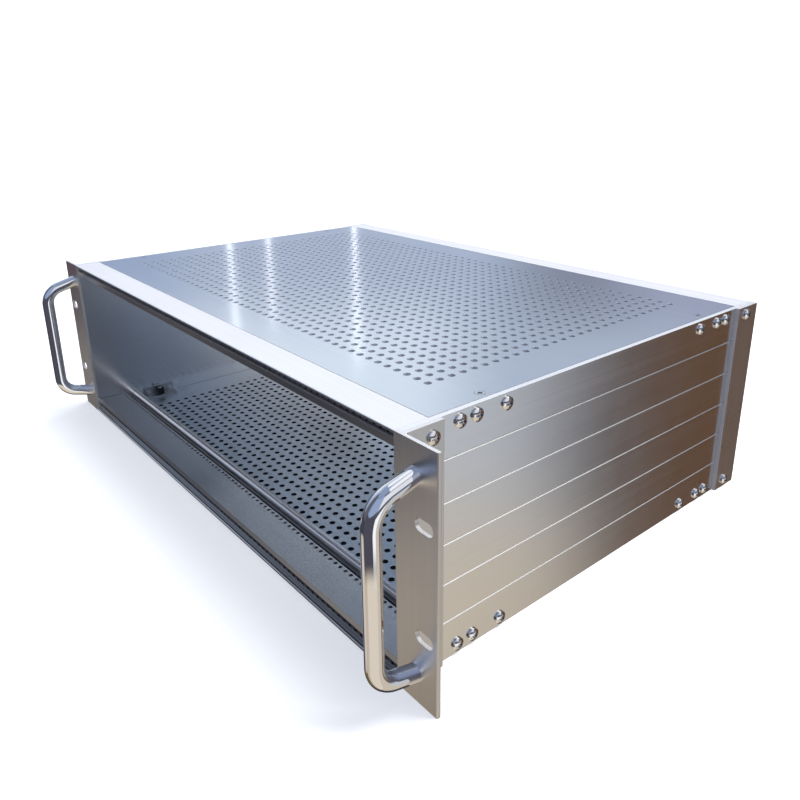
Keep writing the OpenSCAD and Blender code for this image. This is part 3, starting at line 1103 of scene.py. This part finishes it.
ROOM = (
    Card("rear haze", (0.42, 0.49, 0.64), (-120.0, -40.0), (3.0, 90.0), (6.0, 3.0)),
    Card("rear right haze", (0.34, 0.37, 0.50), (-36.0, 12.0), (3.0, 90.0), (8.0, 3.0)),
    Card("rear right window", (0.46, 0.53, 0.65), (-48.0, -26.0), (16.5, 45.0), (5.0, 2.0)),
    Card("left haze", (0.32, 0.40, 0.57), (-120.0, -68.0), (3.0, 15.5), (3.0, 1.5)),
    Card("rear window", (0.75, 0.84, 0.94), (-100.0, -46.0), (16.0, 42.0), (5.0, 2.5)),
    Card("right window", (0.78, 0.80, 0.86), (54.0, 112.0), (10.0, 48.0), (6.0, 3.0)),
    Card("right rear window", (1.5, 1.48, 1.4), (29.0, 58.0), (27.0, 62.0), (5.0, 5.0)),
    Card("front sky", (0.30, 0.38, 0.58), (112.0, 200.0), (12.0, 60.0), (4.0, 3.0)),
    Card("front sky left", (0.26, 0.34, 0.54), (-200.0, -165.0), (16.0, 60.0), (4.0, 3.0)),
    Card("ceiling", (0.26, 0.33, 0.50), (-200.0, 200.0), (60.0, 100.0), (5.0, 6.0)),
    Card("ceiling panel", (0.94, 0.97, 1.02), (-75.0, 85.0), (53.0, 80.0), (6.0, 5.0)),
    Card("rear floor", (0.30, 0.36, 0.44), (-92.0, -24.0), (-40.0, 1.0), (4.0, 4.0)),
    Card("left shade", (0.045, 0.055, 0.085), (-150.0, -113.0), (-27.0, -4.0), (4.0, 4.0)),
    Card("left table", (0.66, 0.58, 0.50), (-152.0, -116.0), (-95.0, -31.0), (5.0, 4.0)),
    Card("left table edge", (0.16, 0.12, 0.05), (-152.0, -100.0), (-95.0, -43.5), (5.0, 3.0)),
    Card("left curtain", (0.15, 0.085, 0.09), (-111.0, -94.0), (-15.0, -3.0), (2.5, 2.0)),
    Card("left window", (0.80, 0.71, 0.58), (-107.0, -94.0), (-21.5, -16.0), (2.5, 1.5)),
    Card("front room", (0.075, 0.073, 0.10), (118.0, 200.0), (-36.0, 12.0), (6.0, 3.0)),
    Card("front room left", (0.075, 0.073, 0.10), (-200.0, -158.0), (-36.0, 16.0), (6.0, 3.0)),
    Card("front table", (0.72, 0.64, 0.53), (70.0, 200.0), (-95.0, -36.0), (6.0, 0.8)),
    Card("front table left", (0.55, 0.48, 0.39), (-200.0, -152.0), (-95.0, -36.0), (4.0, 0.8)),
    Card("white wall", (1.0, 1.0, 1.0), (74.0, 108.0), (-35.5, -6.0), (3.0, 2.0)),
    Card("side wall", (0.53, 0.56, 0.61), (38.0, 72.0), (-60.0, -4.0), (5.0, 3.0)),
    Card("side floor", (0.60, 0.53, 0.43), (35.0, 72.0), (-95.0, -31.0), (4.0, 5.0)),
    Card("brown cabinet", (0.118, 0.060, 0.028), (-22.0, 32.5), (-48.0, 1.0), (3.0, 4.0)),
)


@dataclass
class Studio:
    """Pale floor that rises into a backdrop all round, a room for the metal to mirror, lights and camera.

    Attributes:
        hub: radius of the innermost ring of the floor, in metres.
        flat: radius of the flat floor.
        wall: radius of the backdrop.
        rise: height of the backdrop.
        around: points round the floor.
        steps: rings along the flat floor, and again up the backdrop.
        sunk: depth of the shadow card below the floor, in millimetres.
        glow: light that the paper gives off near the case and far from it.
        glow_from: squared distances at which it starts to change and has changed.
        shade_x: half widths of the dark patch under the case, where it is full and where it ends.
        shade_y: the same along Y.
        low: light of the room below the horizon.
        high: light of the room above it.
        horizon: half width of the change between them, in degrees.
        focal: focal length in pixels of an 800 pixel frame.
        centre: pixel on the camera's axis.
        side: pixels on a side of the frame.
        azimuth: degrees that the camera stands round to the right of the front.
        elevation: degrees that it looks down.
        roll: degrees that it leans.
        eye: its place in the row frame, in metres.
        lamps: the lights.
    """

    hub: float = 0.02
    flat: float = 2.6
    wall: float = 4.2
    rise: float = 3.2
    around: int = 96
    steps: int = 24
    sunk: float = 0.2
    glow: Span = (0.5, 1.0)
    glow_from: Span = (0.2, 1.6)
    shade_x: Span = (0.205, 0.212)
    shade_y: Span = (0.115, 0.125)
    low: Colour = (0.052, 0.050, 0.058)
    high: Colour = (0.11, 0.12, 0.15)
    horizon: float = 4.0
    focal: float = 736.73
    centre: Span = (405.78, 340.98)
    side: float = 800.0
    azimuth: float = 50.398
    elevation: float = 18.427
    roll: float = 0.609
    eye: Point = (0.43355, -0.314675, 0.26561)
    lamps: Sequence[SoftBox] = (
        SoftBox("ceiling_left", (-0.55, 0.75, 2.2), (0.0, 0.0, 0.0), (0.85, 1.3), 13.0, mirrored=False),
        SoftBox("ceiling_right", (0.70, 0.70, 2.1), (0.0, 0.0, 0.0), (0.85, 1.3), 30.0, mirrored=False),
        strip_box("strip_left", -66.2, (9.0, 24.0), 0.010, 0.035),
        strip_box("strip_middle", -62.6, (9.0, 20.0), 0.010, 0.022),
        strip_box("strip_right", -54.4, (9.0, 24.0), 0.010, 0.035),
    )

    def build(self) -> None:
        """Makes the floor, the room, the lights and the camera."""
        self._floor()
        self._room()
        for lamp in self.lamps:
            lamp.build()
            LOG.info("studio: light %s", lamp.name)
        self._camera()

    def _floor(self) -> None:
        """A profile turned round Z: flat, then a quarter of an ellipse up to the rim of the backdrop."""
        quarter = np.linspace(0, np.pi / 2, self.steps + 1)[1:]
        backdrop = self.flat + (self.wall - self.flat) * np.sin(quarter)
        run = np.append(np.linspace(self.hub, self.flat, self.steps), backdrop)
        lift = np.append(np.zeros(self.steps), self.rise * (1 - np.cos(quarter)))
        turn = np.arange(self.around) * 2 * np.pi / self.around
        x = run[:, None] * np.cos(turn)
        y = run[:, None] * np.sin(turn)
        points = np.stack([x, y, np.repeat(lift[:, None], self.around, 1)], -1).reshape(-1, 3)
        ids = np.arange(len(points)).reshape(len(run), self.around)
        a, b = ids[:-1], ids[1:]
        quads = np.stack([a, b, np.roll(b, -1, 1), np.roll(a, -1, 1)], -1).reshape(-1, 4)
        hub = np.stack([np.full(self.around, len(points)), ids[0], np.roll(ids[0], -1)], 1)
        floor = put_mesh("studio_floor", np.append(points, [[0, 0, 0]], 0), hub, quads, 60.0)
        floor.data.materials.append(self._paper())
        # The metal mirrors the room and not the paper, as in a shot on a glass table
        floor.visible_glossy = False
        floor.visible_diffuse = False
        self._shadow_card()

    def _shadow_card(self) -> None:
        """A dark card just under the paper, so that no light comes up through the holes of the case."""
        (x0, y0, _), (x1, y1, _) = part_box("bottom_cover")
        z = -self.sunk * MM
        points = np.array([[x0, y0, z], [x1, y0, z], [x1, y1, z], [x0, y1, z]])
        card = put_mesh("studio_shadow_card", points, np.zeros((0, 3), int), np.array([[0, 1, 2, 3]]))
        black = bpy.data.materials.new("studio_black")
        black.use_nodes = True
        g = Graph(black.node_tree)
        surface = {"Base Color": (0.015, 0.015, 0.016, 1.0), "Roughness": 0.9}
        shader = g.add("ShaderNodeBsdfPrincipled", {}, surface)
        g.add("ShaderNodeOutputMaterial", {}, {"Surface": shader})
        card.data.materials.append(black)
        card.visible_camera = False

    def _paper(self) -> bpy.types.Material:
        """White paper with a painted shadow under the case, where no light gets, and a painted glow of its
        own that is stronger far from the case.
        """
        paper = bpy.data.materials.new("studio_paper")
        paper.use_nodes = True
        g = Graph(paper.node_tree)
        place = g.add("ShaderNodeTexCoord", {}, {}, "Object")
        x, y, z = g.split(place)
        away = (x * x + y * y + z * z).ramp(*self.glow_from)
        under = abs(x).ramp(*self.shade_x, 1.0, 0.0) * abs(y).ramp(*self.shade_y, 1.0, 0.0)
        tone = g.mix(g.noise(place, 3.0, 2.0), (0.90, 0.90, 0.90), (0.92, 0.92, 0.92))
        near, far = ((light,) * 3 for light in self.glow)
        # Painted shadow under the case in the colour and the glow; the glow is painted light, weaker near the
        # case
        surface = {
            "Base Color": g.mix(under, tone, (0.02, 0.02, 0.022)),
            "Roughness": 0.9,
            "Emission Color": g.mix(under, g.mix(away, near, far), (0.0, 0.0, 0.0)),
            "Emission Strength": 1.0,
        }
        shader = g.add("ShaderNodeBsdfPrincipled", {}, surface)
        g.add("ShaderNodeOutputMaterial", {}, {"Surface": shader})
        return paper

    def _room(self) -> None:
        """The world: a dim room with the patches that the metal mirrors."""
        world = bpy.data.worlds.new("room")
        bpy.context.scene.world = world
        world.use_nodes = True
        g = Graph(world.node_tree)
        x, y, z = g.split(g.add("ShaderNodeTexCoord", {}, {}, "Generated"))
        degrees = math.degrees(1.0)
        level = g.add("ShaderNodeMath", {"operation": "SQRT"}, {0: x * x + y * y})
        bearing = x.bearing(y) * degrees
        rise = z.bearing(level) * degrees
        colour = g.mix(rise.ramp(-self.horizon, self.horizon), self.low, self.high)
        for card in ROOM:
            colour = card.paint(g, colour, bearing, rise)
        shader = g.add("ShaderNodeBackground", {}, {"Color": colour, "Strength": 1.0})
        g.add("ShaderNodeOutputWorld", {}, {"Surface": shader})

    def _camera(self) -> None:
        """Places the camera; the frame's shift puts its axis on the photograph's own centre."""
        data = bpy.data.cameras.new("photo_camera")
        data.sensor_fit = "HORIZONTAL"
        data.sensor_width = 36.0
        data.lens = data.sensor_width * self.focal / self.side
        data.shift_x = (self.side / 2 - self.centre[0]) / self.side
        data.shift_y = (self.centre[1] - self.side / 2) / self.side
        data.clip_start = 0.01
        data.clip_end = 50.0
        a, e, r = (math.radians(v) for v in (self.azimuth, self.elevation, self.roll))
        back = Vector((math.sin(a) * math.cos(e), -math.cos(a) * math.cos(e), math.sin(e)))
        level = Vector((math.cos(a), math.sin(a), 0.0))
        upright = back.cross(level)
        right = level * math.cos(r) - upright * math.sin(r)
        turn = Matrix((right, back.cross(right), back)).transposed().to_4x4()
        camera = bpy.data.objects.new("photo_camera", data)
        camera.matrix_world = Matrix.Translation(self.eye) @ turn
        bpy.context.scene.collection.objects.link(camera)
        bpy.context.scene.camera = camera
        bpy.context.scene.view_settings.view_transform = "Standard"


def main() -> None:
    """Builds the sub-assemblies in order, dresses them and sets up the studio."""
    logging.basicConfig(level=logging.INFO, format="%(name)s %(message)s")
    pairs = ("left", "right")
    ends = [f"{end}_{edge}" for end in ("front", "rear") for edge in ("top", "bottom")]
    angles = [f"{s}_{end}" for end in ("front_flange", "rear_angle") for s in pairs]
    screws = ("rail", "bracket", "flange", "rear_angle", "top_cover", "bottom_cover", "handle")
    case = [
        SubAssembly("side plates", SIDE_ALUMINIUM, [f"{s}_side_plate" for s in pairs]),
        SubAssembly("flanges and rear angles", FLANGE_ALUMINIUM, angles),
        BarHandles("handles", HANDLE_CHROME, [f"{s}_handle" for s in pairs]),
        SubAssembly("rails", RAIL_ALUMINIUM, [f"{e}_rail" for e in ends]),
        SubAssembly("threaded strips", STRIP_STEEL, [f"{e}_strip" for e in ends]),
        VentedCovers("covers", COVER_ALUMINIUM, ["top_cover", "bottom_cover"]),
        SubAssembly("cover brackets", BRACKET_ALUMINIUM, [f"{s}_cover_brackets" for s in pairs]),
        SubAssembly("nut blocks", NUT_BLACK, ["cover_nuts"]),
        SubAssembly("screws", SCREW_STEEL, [f"{s}_screws" for s in screws]),
    ]
    for part in case:
        part.dress(part.finish.make(), part.build())
    Studio().build()


if __name__ == "__main__":
    main()
